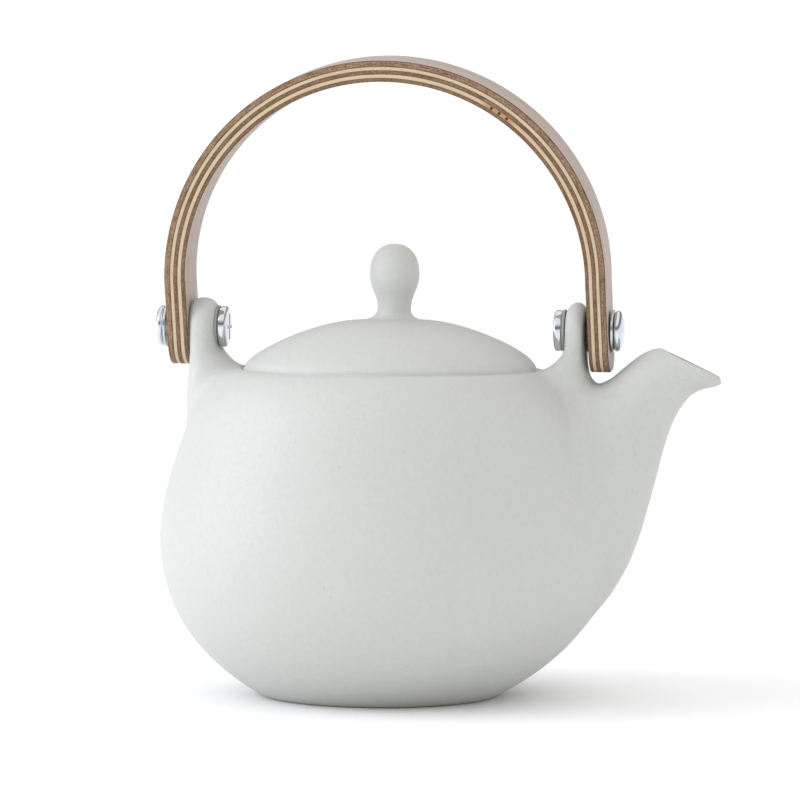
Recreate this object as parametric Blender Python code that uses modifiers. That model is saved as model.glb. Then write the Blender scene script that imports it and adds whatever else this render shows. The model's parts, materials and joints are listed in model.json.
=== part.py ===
"""Ceramic teapot with a bent plywood bail, a loose lid and a lift-out strainer.

Metres, +Z up, +X towards the spout. The origin is on the pot's axis, on the table.
Driving dimensions are in millimetres at the top, and MM turns them into metres.
"""

from math import cos, pi, radians, sin

import bmesh
import bpy
from mathutils import Matrix, Vector

MM = 0.001
FIT = 0.1  # between pieces that are clamped or glued together

# Pot
BELLY_RADIUS = 68.6
BELLY_Z = 48.0
FOOT_RADIUS = 35.0
SHOULDER = (59.4, 83.6)
RIM_RADIUS = 44.4
RIM_Z = 97.6
LEDGE_RADIUS = 40.2
LEDGE_Z = 93.0
LEDGE_DEPTH = 3.0
POT_WALL = 4.0
TURN_STEPS = 48

# Spout: where each section's underside and top are (x, z), and its width
SPOUT_SECTIONS = (
    ((50.0, 20.0), (40.0, 80.0), 36.0),
    ((63.8, 27.5), (54.5, 85.0), 45.0),
    ((68.9, 35.5), (59.4, 89.4), 44.0),
    ((73.9, 46.5), (63.6, 92.2), 38.0),
    ((77.0, 56.0), (66.2, 94.4), 32.5),
    ((79.7, 65.7), (68.8, 96.8), 27.5),
    ((82.3, 75.3), (71.6, 99.4), 23.0),
    ((85.0, 82.5), (74.4, 101.7), 19.5),
    ((88.8, 88.6), (76.8, 103.1), 17.2),
    ((93.8, 91.5), (78.2, 103.8), 15.8),
    ((98.7, 94.1), (79.2, 104.0), 14.8),
)
SPOUT_WALL = 3.2
SPOUT_LIP = 2.2
SPOUT_SIDES = 24

# Lugs and pivot: each section's height, inner and outer x, and half its width
PIVOT_Z = 110.0
LUG_INNER_X = 51.6
LUG_OUTER_X = 59.0
LUG_RADIUS = 8.8
LUG_FOOT_SECTIONS = (
    (80.0, 47.0, 60.6, 14.0),
    (88.0, 46.0, 61.0, 12.5),
    (92.0, 45.8, 60.6, 11.2),
    (95.0, 45.8, 59.9, 10.0),
    (97.4, 46.0, 59.4, 9.4),
    (99.0, 47.2, 59.1, 9.1),
    (100.6, 49.2, 59.0, 8.9),
    (102.4, 50.9, 59.0, 8.8),
    (104.2, 51.6, 59.0, 8.8),
)
LUG_EDGE = 2.4
HOLE_RADIUS = 2.9

# Lid
LID_RADIUS = 43.95
LID_EDGE_Z = 97.9
LID_WALL = 3.4
KNOB_TOP_Z = 135.0
KNOB_RADIUS = 7.4
KNOB_WIDEST_Z = 126.0
NECK = (5.0, 115.8)
DOME_START = (9.5, 112.1)
SKIRT_RADIUS = 36.4
SKIRT_BOTTOM_Z = 87.0
VENT_RADIUS = 1.3
VENT_Y = 24.0

# Strainer
SHEET = 0.6
FLANGE_RADIUS = 43.9
COLLAR_RADIUS = 37.5
COLLAR_BOTTOM_Z = 85.5
MESH_TOP_Z = 90.0
MESH_BASE_RADIUS = 34.9
STRAINER_BASE_Z = 57.5
BASE_RING_HEIGHT = 4.0

# Bail
PLIES = (
    ("handle_outer_veneer", 1.8),
    ("handle_outer_core", 1.05),
    ("handle_middle_core", 1.15),
    ("handle_inner_core", 1.15),
    ("handle_inner_veneer", 1.15),
)
BAIL_OUTER_RADIUS = 66.1
BAIL_WIDTH = 18.0
BAIL_ARC_RISE = 14.8  # from the pivot up to the arc's centre
BAIL_LEG = 11.3  # from the pivot down to the leg's end
BAIL_CORNER = 6.5
BAIL_LEAN = radians(5.5)
BAIL_ARC_STEPS = 36

# Fasteners, measured outwards from the pot's axis
INNER_WASHER = 0.8
OUTER_WASHER = 0.8
SPACER_RADIUS = 6.4
WASHER_RADIUS = 6.35
HEAD_RADIUS = 6.15
HEAD_HEIGHT = 2.8
BARREL_RADIUS = 2.5
BARREL_END = 54.0
BORE_RADIUS = 1.8
SHANK_RADIUS = 1.5
SHANK_END = 64.0
RECESS_WIDTH = 1.1
RECESS_LENGTH = 6.0
RECESS_DEPTH = 1.1
ROUND_STEPS = 24


def clear_scene():
    for obj in list(bpy.data.objects):
        bpy.data.objects.remove(obj, do_unlink=True)


def new_collection(name):
    collection = bpy.data.collections.new(name)
    bpy.context.scene.collection.children.link(collection)
    return collection


def new_material(name, color, roughness, metallic=0.0):
    made = bpy.data.materials.new(name)
    made.use_nodes = True
    made.diffuse_color = (*color, 1.0)
    shader = made.node_tree.nodes["Principled BSDF"]
    shader.inputs["Base Color"].default_value = (*color, 1.0)
    shader.inputs["Roughness"].default_value = roughness
    shader.inputs["Metallic"].default_value = metallic
    return made


def add_mesh(name, bm, collection, look=None):
    """Turns a bmesh in millimetres into an object of the collection, facing out."""
    bmesh.ops.scale(bm, vec=(MM, MM, MM), verts=bm.verts)
    bmesh.ops.recalc_face_normals(bm, faces=bm.faces)
    mesh = bpy.data.meshes.new(name)
    bm.to_mesh(mesh)
    bm.free()
    obj = bpy.data.objects.new(name, mesh)
    collection.objects.link(obj)
    if look:
        mesh.materials.append(look)
    mesh.shade_smooth()
    mesh.set_sharp_from_angle(angle=radians(35))
    return obj


def add_cutter(name, bm):
    obj = add_mesh(name, bm, cutters)
    obj.hide_render = True
    obj.display_type = "WIRE"
    return obj


def boolean(obj, other, operation):
    step = obj.modifiers.new(other.name, "BOOLEAN")
    step.object = other
    step.operation = operation
    step.solver = "EXACT"


def bezier(start, start_pull, end_pull, end, count):
    """Points of one cubic curve, without its last point."""
    found = []
    for i in range(count):
        t = i / count
        u = 1 - t
        weights = (u**3, 3 * u * u * t, 3 * u * t * t, t**3)
        corners = (start, start_pull, end_pull, end)
        found.append(tuple(sum(w * c[k] for w, c in zip(weights, corners)) for k in (0, 1)))
    return found


def turned(outline, steps):
    """A solid turned about Z from (radius, height) points.

    An outline that starts on the axis also ends on it. Any other is a closed loop.
    """
    bm = bmesh.new()
    points = [bm.verts.new((radius, 0, z)) for radius, z in outline]
    edges = [bm.edges.new(pair) for pair in zip(points, points[1:])]
    if outline[0][0] > 0:
        edges.append(bm.edges.new((points[-1], points[0])))
    bmesh.ops.spin(bm, geom=points + edges, axis=(0, 0, 1), angle=2 * pi, steps=steps,
                   use_merge=True)
    bmesh.ops.remove_doubles(bm, verts=bm.verts, dist=0.001)
    return bm


def washer(inner, outer, low, high):
    """A flat ring about Z with a small chamfer on its rims."""
    chamfer = min(0.15, (high - low) / 4)
    return turned(
        [(inner, low), (outer - chamfer, low), (outer, low + chamfer),
         (outer, high - chamfer), (outer - chamfer, high), (inner, high)], ROUND_STEPS)


def skin(bm, rings):
    """Joins neighbouring rings of vertices and closes the two end rings."""
    for low, high in zip(rings, rings[1:]):
        for i in range(len(low)):
            after = (i + 1) % len(low)
            bm.faces.new((low[i], low[after], high[after], high[i]))
    bm.faces.new(rings[0])
    bm.faces.new(rings[-1])
    return bm


# ---- Pot -----------------------------------------------------------------------------


def pot_outline():
    """The outside, from the middle of the base up to the rim and down to the axis."""
    belly = (BELLY_RADIUS, BELLY_Z)
    rim = (RIM_RADIUS + 0.6, RIM_Z)
    low = bezier((FOOT_RADIUS, 0), (48.4, 5.0), (BELLY_RADIUS, 19.5), belly, 9)
    high = bezier(belly, (BELLY_RADIUS, 61.1), (60.9, 80.2), SHOULDER, 5)
    top = bezier(SHOULDER, (55.9, 91.7), (49.5, RIM_Z), rim, 5)
    return [(0, 0)] + low + high + top + [rim, (0, RIM_Z)]


def cavity_outline():
    """The hollow, from the middle of its floor up past the seat of the lid."""
    belly = (BELLY_RADIUS - POT_WALL, BELLY_Z)
    neck = (LEDGE_RADIUS, LEDGE_Z - LEDGE_DEPTH)
    low = bezier((FOOT_RADIUS - 1, POT_WALL), (46.5, 8.5), (belly[0], 22.0), belly, 6)
    high = bezier(belly, (belly[0], 67.0), (58.5, 88.0), neck, 6)
    seat = [neck, (LEDGE_RADIUS, LEDGE_Z), (RIM_RADIUS, LEDGE_Z), (RIM_RADIUS, RIM_Z + 8)]
    return [(0, POT_WALL)] + low + high + seat + [(0, RIM_Z + 8)]


def spout(root_wall, lip_wall, start, beyond):
    """The spout's loft, drawn in by the wall's thickness for its passage."""
    bm = bmesh.new()
    rings = []
    count = len(SPOUT_SECTIONS) - 1
    for i, (under, top, width) in enumerate(SPOUT_SECTIONS):
        wall = root_wall + (lip_wall - root_wall) * i / count
        low = Vector((under[0], 0, under[1]))
        high = Vector((top[0], 0, top[1]))
        up = (high - low).normalized()
        middle = (low + high) / 2
        half_height = (high - low).length / 2 - wall
        half_width = width / 2 - wall
        if i >= start:
            rings.append(oval(bm, middle, up, half_height, half_width))
    if beyond:
        outwards = Vector((up.z, 0, -up.x))
        rings.append(oval(bm, middle + outwards * beyond, up, half_height, half_width))
    return skin(bm, rings)


def oval(bm, middle, up, half_height, half_width):
    turns = [2 * pi * i / SPOUT_SIDES for i in range(SPOUT_SIDES)]
    across = Vector((0, 1, 0))
    return [
        bm.verts.new(middle + across * half_width * cos(turn) + up * half_height * sin(turn))
        for turn in turns
    ]


def lug(side):
    """One lug as level sections, from inside the shoulder up round the pivot."""
    bm = bmesh.new()
    sections = list(LUG_FOOT_SECTIONS)
    for degrees_up in (0, 22, 42, 58, 71, 81):
        turn = radians(degrees_up)
        thinner = 1.6 * max(0, (degrees_up - 45) / 45) ** 2
        sections.append((PIVOT_Z + LUG_RADIUS * sin(turn), LUG_INNER_X + thinner,
                         LUG_OUTER_X - thinner, LUG_RADIUS * cos(turn)))
    return skin(bm, [rounded_section(bm, side, *section) for section in sections])


def rounded_section(bm, side, z, near, far, half_width):
    corner = min(LUG_EDGE, half_width * 0.9, (far - near) * 0.45)
    found = []
    for quarter, (x, y) in enumerate(((far, 1), (near, 1), (near, -1), (far, -1))):
        centre_x = x - corner if x == far else x + corner
        centre_y = y * (half_width - corner)
        for step in range(5):
            turn = pi / 2 * (quarter + step / 4)
            found.append(bm.verts.new((side * (centre_x + corner * cos(turn)),
                                       centre_y + corner * sin(turn), z)))
    return found


def cross_bar(radius, low, high):
    """A cylinder along X at the height of the pivot."""
    bm = bmesh.new()
    bmesh.ops.create_cone(bm, cap_ends=True, segments=ROUND_STEPS, radius1=radius,
                          radius2=radius, depth=high - low)
    bmesh.ops.rotate(bm, verts=bm.verts, matrix=TIP_TO_X)
    bmesh.ops.translate(bm, verts=bm.verts, vec=((low + high) / 2, 0, PIVOT_Z))
    return bm


def belly(fit):
    """The outside of the body, grown about its middle by about the fit on every side."""
    bm = turned(pot_outline(), TURN_STEPS)
    growth = 1 + fit / (BELLY_RADIUS - FIT)
    bmesh.ops.scale(bm, vec=(growth, growth, growth), verts=bm.verts,
                    space=Matrix.Translation((0, 0, -BELLY_Z)))
    return bm


def make_pot():
    body = add_mesh("pot_body", belly(0), parts, glaze)
    passage = add_cutter("spout_passage", spout(SPOUT_WALL, SPOUT_LIP, 1, 3))
    boolean(body, add_cutter("pot_cavity", turned(cavity_outline(), TURN_STEPS)), "DIFFERENCE")
    boolean(body, passage, "DIFFERENCE")

    belly_seat = add_cutter("belly_seat", belly(FIT))
    tube = add_mesh("spout", spout(0, 0, 0, 0), parts, glaze)
    boolean(tube, belly_seat, "DIFFERENCE")
    boolean(tube, passage, "DIFFERENCE")

    spout_seat = add_cutter("spout_seat", spout(-FIT, -FIT, 0, 0))
    for name, side in (("left", -1), ("right", 1)):
        ear = add_mesh(name + "_lug", lug(side), parts, glaze)
        boolean(ear, belly_seat, "DIFFERENCE")
        low, high = sorted((side * (LUG_INNER_X - 6), side * (LUG_OUTER_X + 4)))
        hole = add_cutter(name + "_lug_hole", cross_bar(HOLE_RADIUS, low, high))
        boolean(ear, hole, "DIFFERENCE")
    boolean(ear, spout_seat, "DIFFERENCE")


# ---- Lid -----------------------------------------------------------------------------


def lid_outline():
    """From the top of the knob down the outside, round the skirt and up the underside."""
    knob_side = (KNOB_RADIUS, KNOB_WIDEST_Z)
    edge = (LID_RADIUS - 0.5, LID_EDGE_Z)
    seat_z = LEDGE_Z + SHEET + 2 * FIT
    skirt_inner = SKIRT_RADIUS - LID_WALL + 0.4
    outside = (
        bezier((0, KNOB_TOP_Z), (4.6, KNOB_TOP_Z), (KNOB_RADIUS, 131.5), knob_side, 5)
        + bezier(knob_side, (KNOB_RADIUS, 121.5), (NECK[0], 120.0), NECK, 4)
        + bezier(NECK, (NECK[0], 113.6), (6.5, 112.4), DOME_START, 3)
        + bezier(DOME_START, (22.0, 110.9), (38.0, 104.8), edge, 6)
        + [edge, (LID_RADIUS, LID_EDGE_Z - 0.5), (LID_RADIUS, seat_z)]
    )
    skirt = [(SKIRT_RADIUS, seat_z), (SKIRT_RADIUS - 0.2, SKIRT_BOTTOM_Z + 0.6),
             (SKIRT_RADIUS - 0.8, SKIRT_BOTTOM_Z), (skirt_inner + 0.6, SKIRT_BOTTOM_Z),
             (skirt_inner, SKIRT_BOTTOM_Z + 0.6)]
    under_top = (0, DOME_START[1] - LID_WALL)
    under = bezier((skirt_inner, 96.0), (skirt_inner, 103.0), (20.0, under_top[1]), under_top, 5)
    return outside + skirt + under + [under_top]


def make_lid():
    lid = add_mesh("lid", turned(lid_outline(), TURN_STEPS), parts, glaze_lid)
    vent = bmesh.new()
    bmesh.ops.create_cone(vent, cap_ends=True, segments=16, radius1=VENT_RADIUS,
                          radius2=VENT_RADIUS, depth=14)
    bmesh.ops.translate(vent, verts=vent.verts, vec=(0, VENT_Y, DOME_START[1] - LID_WALL))
    boolean(lid, add_cutter("lid_vent", vent), "DIFFERENCE")


# ---- Strainer ------------------------------------------------------------------------


def make_strainer():
    low = LEDGE_Z + FIT
    collar = COLLAR_RADIUS - SHEET
    rim = [(collar, COLLAR_BOTTOM_Z), (COLLAR_RADIUS, COLLAR_BOTTOM_Z), (COLLAR_RADIUS, low),
           (FLANGE_RADIUS, low), (FLANGE_RADIUS, low + SHEET), (collar, low + SHEET)]
    add_mesh("strainer_rim", turned(rim, TURN_STEPS), parts, strainer_steel)

    top, base = COLLAR_RADIUS + FIT, MESH_BASE_RADIUS
    foot_z = STRAINER_BASE_Z + 2 * SHEET + 2 * FIT
    taper_z = STRAINER_BASE_Z + BASE_RING_HEIGHT + 1
    wall = [(base, foot_z), (base + SHEET, foot_z), (base + SHEET, taper_z),
            (top + SHEET, COLLAR_BOTTOM_Z - 1), (top + SHEET, MESH_TOP_Z), (top, MESH_TOP_Z),
            (top, COLLAR_BOTTOM_Z - 1), (base, taper_z)]
    add_mesh("strainer_wall", turned(wall, TURN_STEPS), parts, mesh_steel)

    outer = base + 2 * SHEET + 2 * FIT
    ring_low, ring_high = STRAINER_BASE_Z, STRAINER_BASE_Z + BASE_RING_HEIGHT
    ring = [(base - 3, ring_low), (outer, ring_low), (outer, ring_high),
            (outer - SHEET, ring_high), (outer - SHEET, ring_low + SHEET),
            (base - 3, ring_low + SHEET)]
    add_mesh("strainer_base_ring", turned(ring, TURN_STEPS), parts, ring_steel)

    floor_z = STRAINER_BASE_Z + SHEET + FIT
    floor = [(0, floor_z), (base, floor_z), (base, floor_z + SHEET), (0, floor_z + SHEET)]
    add_mesh("strainer_floor", turned(floor, TURN_STEPS), parts, floor_steel)


# ---- Bail ----------------------------------------------------------------------------


def bail_path(radius):
    """(x, z, half width) along one ply, from the left leg's end to the right one's."""
    half = BAIL_WIDTH / 2
    leg = []
    for i in range(7):
        turn = pi / 2 * i / 6
        leg.append((-BAIL_LEG + BAIL_CORNER * (1 - cos(turn)),
                    half - BAIL_CORNER * (1 - sin(turn))))
    leg += [(0, half), (BAIL_ARC_RISE / 2, half)]
    left = [(-radius, z, width) for z, width in leg]
    right = [(radius, z, width) for z, width in reversed(leg)]
    turns = [pi - pi * i / BAIL_ARC_STEPS for i in range(BAIL_ARC_STEPS + 1)]
    bow = [(radius * cos(a), BAIL_ARC_RISE + radius * sin(a), half) for a in turns]
    return left + bow + right


def make_bail():
    pivot = bpy.data.objects.new("bail_pivot", None)
    pivot.location = (0, 0, PIVOT_Z * MM)
    pivot.rotation_euler = (BAIL_LEAN, 0, 0)
    parts.objects.link(pivot)
    hole = cross_bar(HOLE_RADIUS, -BAIL_OUTER_RADIUS - 5, BAIL_OUTER_RADIUS + 5)
    bmesh.ops.translate(hole, verts=hole.verts, vec=(0, 0, -PIVOT_Z))
    hole_cutter = add_cutter("bail_holes", hole)
    hole_cutter.parent = pivot
    outside = BAIL_OUTER_RADIUS
    for (name, thickness), look in zip(PLIES, ply_looks):
        bm = bmesh.new()
        rows = [
            [bm.verts.new((x, -width, z)), bm.verts.new((x, width, z))]
            for x, z, width in bail_path(outside - thickness / 2)
        ]
        for (a, b), (c, d) in zip(rows, rows[1:]):
            bm.faces.new((a, b, d, c))
        ply = add_mesh(name, bm, parts, look)
        ply.parent = pivot
        shell = ply.modifiers.new("thickness", "SOLIDIFY")
        shell.thickness = (thickness - FIT) * MM
        shell.offset = 0
        shell.use_even_offset = True
        boolean(ply, hole_cutter, "DIFFERENCE")
        outside -= thickness


# ---- Fasteners -----------------------------------------------------------------------


def post_nut_outline():
    """The domed head outside the bail with its hollow barrel running inwards."""
    seat = BAIL_OUTER_RADIUS + OUTER_WASHER + 2 * FIT
    top = seat + HEAD_HEIGHT
    side_top = seat + HEAD_HEIGHT * 0.45
    dome = bezier((HEAD_RADIUS, side_top), (HEAD_RADIUS, top - 0.5), (4.2, top), (0, top), 6)
    return (
        [(0, SHANK_END + 1), (BORE_RADIUS, SHANK_END + 1), (BORE_RADIUS, BARREL_END)]
        + [(BARREL_RADIUS, BARREL_END), (BARREL_RADIUS, seat)]
        + [(HEAD_RADIUS - 0.2, seat), (HEAD_RADIUS, seat + 0.2)] + dome + [(0, top)]
    )


def post_screw_outline():
    """The domed head inside the lug with its shank running outwards into the barrel."""
    seat = LUG_INNER_X - INNER_WASHER - 2 * FIT
    top = seat - HEAD_HEIGHT
    side_top = seat - HEAD_HEIGHT * 0.45
    dome = bezier((HEAD_RADIUS, side_top), (HEAD_RADIUS, top + 0.5), (4.2, top), (0, top), 6)
    return (
        [(0, SHANK_END), (SHANK_RADIUS - 0.3, SHANK_END), (SHANK_RADIUS, SHANK_END - 0.4)]
        + [(SHANK_RADIUS, seat), (HEAD_RADIUS - 0.2, seat), (HEAD_RADIUS, seat - 0.2)]
        + dome + [(0, top)]
    )


def recess(turned_by):
    """One bar of the cross recess in a post screw's head."""
    bm = bmesh.new()
    bmesh.ops.create_cube(bm, size=1)
    bmesh.ops.scale(bm, vec=(RECESS_LENGTH, RECESS_WIDTH, 2 * RECESS_DEPTH), verts=bm.verts)
    head_top = LUG_INNER_X - INNER_WASHER - 2 * FIT - HEAD_HEIGHT
    bmesh.ops.translate(bm, verts=bm.verts, vec=(0, 0, head_top))
    bmesh.ops.rotate(bm, verts=bm.verts, matrix=Matrix.Rotation(turned_by, 3, "Z"))
    return bm


def make_fasteners():
    """Each piece is turned about Z, then laid along X so that its Z points outwards."""
    wood_inside = BAIL_OUTER_RADIUS - sum(thickness for _, thickness in PLIES)
    for name, side in (("left", -1), ("right", 1)):
        pieces = [
            add_mesh(name + "_post_nut", turned(post_nut_outline(), ROUND_STEPS), parts, chrome),
            add_mesh(name + "_post_screw", turned(post_screw_outline(), ROUND_STEPS), parts,
                     screw_chrome),
            add_mesh(name + "_outer_washer",
                     washer(BARREL_RADIUS + 0.3, WASHER_RADIUS, BAIL_OUTER_RADIUS + FIT,
                            BAIL_OUTER_RADIUS + FIT + OUTER_WASHER), parts, washer_steel),
            add_mesh(name + "_spacer_washer",
                     washer(BARREL_RADIUS + 0.3, SPACER_RADIUS, LUG_OUTER_X + FIT,
                            wood_inside - FIT), parts, spacer_rubber),
            add_mesh(name + "_inner_washer",
                     washer(BARREL_RADIUS + 0.3, WASHER_RADIUS, LUG_INNER_X - FIT - INNER_WASHER,
                            LUG_INNER_X - FIT), parts, dark_rubber),
        ]
        screw = pieces[1]
        for turn in (0, pi / 2):
            cutter = add_cutter(f"{name}_recess_{round(turn)}", recess(turn + pi / 4))
            boolean(screw, cutter, "DIFFERENCE")
            pieces.append(cutter)
        for piece in pieces:
            piece.location = (0, 0, PIVOT_Z * MM)
            piece.rotation_euler = (0, side * pi / 2, 0)


TIP_TO_X = Matrix.Rotation(pi / 2, 3, "Y")

clear_scene()
parts = new_collection("teapot")
cutters = new_collection("cutters")
cutters.hide_render = True

glaze = new_material("pot_glaze", (0.76, 0.75, 0.71), 0.45)
glaze_lid = new_material("lid_glaze", (0.77, 0.76, 0.72), 0.45)
strainer_steel = new_material("strainer_rim_steel", (0.66, 0.66, 0.65), 0.3, 1.0)
mesh_steel = new_material("strainer_mesh_steel", (0.58, 0.58, 0.57), 0.45, 1.0)
ring_steel = new_material("strainer_ring_steel", (0.64, 0.64, 0.63), 0.3, 1.0)
floor_steel = new_material("strainer_floor_steel", (0.56, 0.56, 0.55), 0.45, 1.0)
ply_looks = [
    new_material("outer_veneer_wood", (0.36, 0.24, 0.19), 0.6),
    new_material("outer_core_wood", (0.62, 0.50, 0.40), 0.6),
    new_material("middle_core_wood", (0.30, 0.20, 0.16), 0.6),
    new_material("inner_core_wood", (0.61, 0.49, 0.39), 0.6),
    new_material("inner_veneer_wood", (0.37, 0.25, 0.20), 0.6),
]
chrome = new_material("post_nut_chrome", (0.82, 0.82, 0.83), 0.15, 1.0)
screw_chrome = new_material("post_screw_chrome", (0.80, 0.80, 0.81), 0.2, 1.0)
washer_steel = new_material("outer_washer_steel", (0.74, 0.74, 0.74), 0.25, 1.0)
spacer_rubber = new_material("spacer_rubber", (0.05, 0.05, 0.05), 0.7)
dark_rubber = new_material("inner_washer_rubber", (0.07, 0.07, 0.07), 0.7)

make_pot()
make_lid()
make_strainer()
make_bail()
make_fasteners()
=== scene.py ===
"""Looks of the ceramic teapot with the bent plywood bail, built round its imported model."""

import json
from math import atan2, cos, pi, radians, sin, sqrt

import bmesh
import bpy
from mathutils import Matrix, Vector
from mathutils.bvhtree import BVHTree


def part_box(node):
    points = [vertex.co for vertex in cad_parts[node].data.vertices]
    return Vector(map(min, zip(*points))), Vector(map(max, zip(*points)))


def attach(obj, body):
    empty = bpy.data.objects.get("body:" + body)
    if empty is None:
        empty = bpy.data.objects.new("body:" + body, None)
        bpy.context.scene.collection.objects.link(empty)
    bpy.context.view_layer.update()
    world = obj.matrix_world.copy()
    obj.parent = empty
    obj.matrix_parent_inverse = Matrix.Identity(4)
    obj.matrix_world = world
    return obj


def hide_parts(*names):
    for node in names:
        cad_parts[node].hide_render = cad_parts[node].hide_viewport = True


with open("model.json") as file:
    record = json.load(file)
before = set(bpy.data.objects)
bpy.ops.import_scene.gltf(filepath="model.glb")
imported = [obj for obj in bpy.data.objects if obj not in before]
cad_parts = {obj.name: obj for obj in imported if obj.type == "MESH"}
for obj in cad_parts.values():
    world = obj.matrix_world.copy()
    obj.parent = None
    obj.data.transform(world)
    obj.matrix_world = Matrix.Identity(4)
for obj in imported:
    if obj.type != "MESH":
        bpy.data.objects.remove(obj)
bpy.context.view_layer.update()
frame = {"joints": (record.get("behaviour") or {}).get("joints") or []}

MM = 0.001
FIT = 0.1

# Places and sizes that the frame gives, in millimetres
PIVOT_Z = frame["joints"][0]["pos_m"][2] / MM
SKIRT_BOTTOM_Z, KNOB_TOP_Z = (corner.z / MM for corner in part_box("lid"))
BAIL_OUTER_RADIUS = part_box("handle_outer_veneer")[1].x / MM
BELLY_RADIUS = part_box("pot_body")[1].y / MM
SPOUT_END_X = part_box("spout")[1].x / MM + 0.5

# Pot
BELLY_Z = 48.0
FOOT_RADIUS = 35.6
SHOULDER = (59.4, 83.6)
RIM_RADIUS = 44.4
RIM_Z = 97.6
RIM_ROUND = 0.7
LEDGE_RADIUS = 40.2
LEDGE_Z = 93.0
LEDGE_DEPTH = 3.0
SEAT_ROUND = 0.6
POT_WALL = 4.0
POT_TURN_STEPS = 160
CAVITY_TURN_STEPS = 128
BASE_OFFSET = 2.5
SPOUT_SIDE_TUCK = 1.9
TUCK_TOP_Z = 40.0

# How the clay is blended: how finely, then how far from each join and for how many rounds
SKIN_GRAIN = 1.1
HOLLOW_GRAIN = 1.7
SPOUT_BLEND = ((13, 12), (10, 20), (7, 30), (4, 20))
LUG_BLEND = ((5, 8), (3.5, 12), (2.5, 8))
SPOUT_TO_LUG_BLEND = (2, 4)
SKIN_SMOOTHING = 2
HOLLOW_SMOOTHING = 6

# Spout: where each section's underside and top are (x, z), and its width. The last one
# passes the mouth, which is trimmed flat.
SPOUT_SECTIONS = (
    ((50.0, 16.0), (40.0, 80.0), 36.0),
    ((64.5, 26.5), (54.5, 86.0), 45.0),
    ((70.3, 35.5), (59.4, 91.4), 44.0),
    ((74.7, 46.5), (63.1, 94.2), 38.0),
    ((77.3, 56.0), (66.2, 95.6), 32.5),
    ((79.8, 65.7), (68.8, 97.8), 27.5),
    ((82.2, 75.3), (71.6, 100.2), 23.0),
    ((84.7, 82.7), (74.4, 102.4), 19.5),
    ((87.4, 87.7), (76.6, 103.7), 17.0),
    ((90.4, 91.2), (78.0, 104.4), 15.4),
    ((94.0, 92.9), (79.6, 104.8), 14.0),
    ((97.4, 93.6), (81.4, 104.9), 12.9),
    ((SPOUT_END_X, 94.3), (83.2, 104.8), 12.2),
)
MOUTH_TOP = Vector((82.5, 0, 104.1))
MOUTH_TIP = Vector((98.5, 0, 96.6))
MOUTH_TURN = radians(3.2)
SPOUT_WALL = 3.2
SPOUT_LIP = 1.9
SPOUT_SIDES = 48
SPOUT_SQUARENESS = 2.1

# Lugs: each level section's height, inner and outer x, and half its width
LUG_INNER_X = 51.4
LUG_OUTER_X = 59.4
LUG_HALF_WIDTH = 9.6
LUG_RISE = 8.5
LUG_CROWN = 3.3
LUG_CROWN_LEAN = 1.0
LUG_CROWN_STEPS = 14
LUG_CROWN_TURN = 87  # degrees, just short of the very top
LUG_SIDES = 40
LUG_SQUARENESS = 3.0
LUG_SHIFTS = {-1: (0.8, 1.3), 1: (1.3, -0.5)}  # outwards, of its inner and outer side
LUG_SHIFT_Z = (90.0, 103.0)
LUG_SECTIONS = (
    (80.0, 47.0, 60.9, 14.5),
    (88.0, 46.0, 61.4, 13.0),
    (92.0, 45.6, 61.0, 11.8),
    (95.0, 45.4, 60.4, 10.8),
    (97.4, 45.9, 59.9, 10.2),
    (99.0, 47.2, 59.6, 9.9),
    (100.6, 48.9, 59.5, 9.7),
    (102.4, 50.6, 59.4, 9.6),
    (104.2, LUG_INNER_X, LUG_OUTER_X, LUG_HALF_WIDTH),
)
POST_HOLE_RADIUS = 2.9

# Lid
LID_RADIUS = 44.1
LID_EDGE_Z = 97.9
LID_EDGE_ROUND = 0.6
LID_TURN_STEPS = 144
KNOB_SIDE = (7.4, 126.0)
NECK = (5.0, 115.8)
DOME_START = (9.5, 112.25)
SKIRT_RADIUS = 36.4
LID_WALL = 3.0
VENT_Y = 24.0
VENT_RADIUS = 1.3
VENT_Z = 108
VENT_FLARE_Z = 108.9
DOME_OFFSET = 0.4
DOME_OFFSET_Z = (LID_EDGE_Z + 0.5, 104.0)
KNOB_OFFSET = 0.7
KNOB_OFFSET_Z = (109.0, 117.0)

# Strainer
SHEET = 0.6
SIEVE_SHEET = 0.5
SIEVE_BAR = 0.36  # half of what is left between two holes
SIEVE_ROWS = 17
SIEVE_COLUMNS = 144
SIEVE_BORDER = 1.0
SIEVE_FOOT_INSET = 1.0
FLOOR_HOLES_ACROSS = 38
FLOOR_INSET = 1.5
FLOOR_BORDER = 3.2
COLLAR_INNER_RADIUS = 36.9
HOOP_WIDTH = 4.3
STRAINER_TURN_STEPS = 128

# Bail: each ply from the outside in, with its thickness
PLIES = (
    ("handle_outer_veneer", 1.8),
    ("handle_outer_core", 1.05),
    ("handle_middle_core", 1.15),
    ("handle_inner_core", 1.15),
    ("handle_inner_veneer", 1.15),
)
BAIL_WIDTH = 18.0
BAIL_ARC_RISE = 14.5
BAIL_LEG = 11.3
BAIL_CORNER = 6.5
BAIL_LEAN = radians(6.1)
BAIL_LEFT_SHIFT = 0.9
BAIL_RIGHT_SHIFT = 0.4
BAIL_LEG_SLANT = 0.04
RIGHT_LEG_MIDDLE_X = BAIL_OUTER_RADIUS - 3.6
RIGHT_LEG_THINNING = 0.06
RIGHT_LEG_THINNING_Z = (5, 45)
RIGHT_LEG_EXTRA = 0.9
RIGHT_LEG_EXTRA_Z = (-BAIL_LEG, -3.5)
BAIL_EDGE_ROUND = 0.4

# Knot in the inner core: how far along from the bail's top, and how far it reaches
KNOT_STAIN = (39.8, 7.5)
KNOT_HOLES = ((36.9, 0.55), (39.8, 0.55), (42.7, 0.5))

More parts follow.
